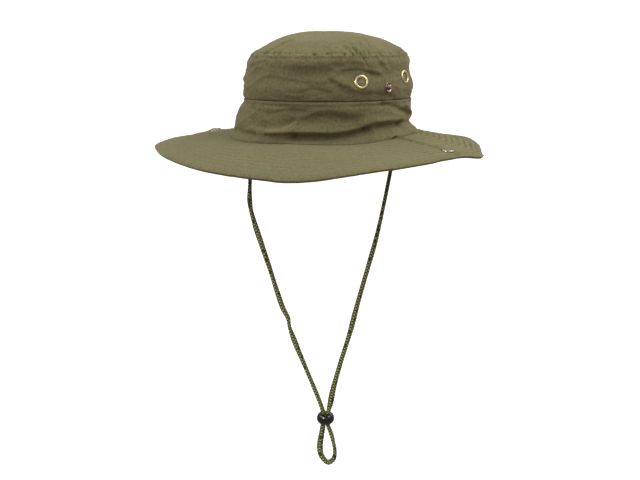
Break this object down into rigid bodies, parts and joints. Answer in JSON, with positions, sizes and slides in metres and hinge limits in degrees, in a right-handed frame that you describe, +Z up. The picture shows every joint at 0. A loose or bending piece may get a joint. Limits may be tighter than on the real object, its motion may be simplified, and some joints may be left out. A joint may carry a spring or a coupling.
{
  "type": "safari hat",
  "caption": "Wide-brimmed cloth safari hat: soft oval crown, screened side vents, snaps for turning up the brim's sides, and a braided chin cord with a sliding bead.",
  "frame": {"origin": "middle of the head opening, level with the seam between crown and brim", "axes": "+Z up through the crown, the front of the hat towards -Y, the wearer's left towards +X"},
  "size_m": [0.3215, 0.3555, 0.4716],
  "materials": {
    "cloth": "matt olive-drab cotton twill",
    "eyelet_brass": "pale rolled brass with a woven screen",
    "snap_metal": "warm nickel plate",
    "cord": "olive-green braid flecked with black",
    "bead": "glossy black moulded plastic"
  },
  "bodies": {
    "root": {"crown_tip": "cloth", "crown_side": "cloth", "crown_band": "cloth", "brim_front": "cloth", "brim_back": "cloth", "eyelet_left_front": "eyelet_brass", "eyelet_left_back": "eyelet_brass", "eyelet_right_front": "eyelet_brass", "eyelet_right_back": "eyelet_brass", "snap_stud_left": "snap_metal", "snap_stud_right": "snap_metal", "snap_socket_left": "snap_metal", "snap_socket_right": "snap_metal", "chin_cord": "cord", "cord_bead": "bead"}
  },
  "joints": []
}
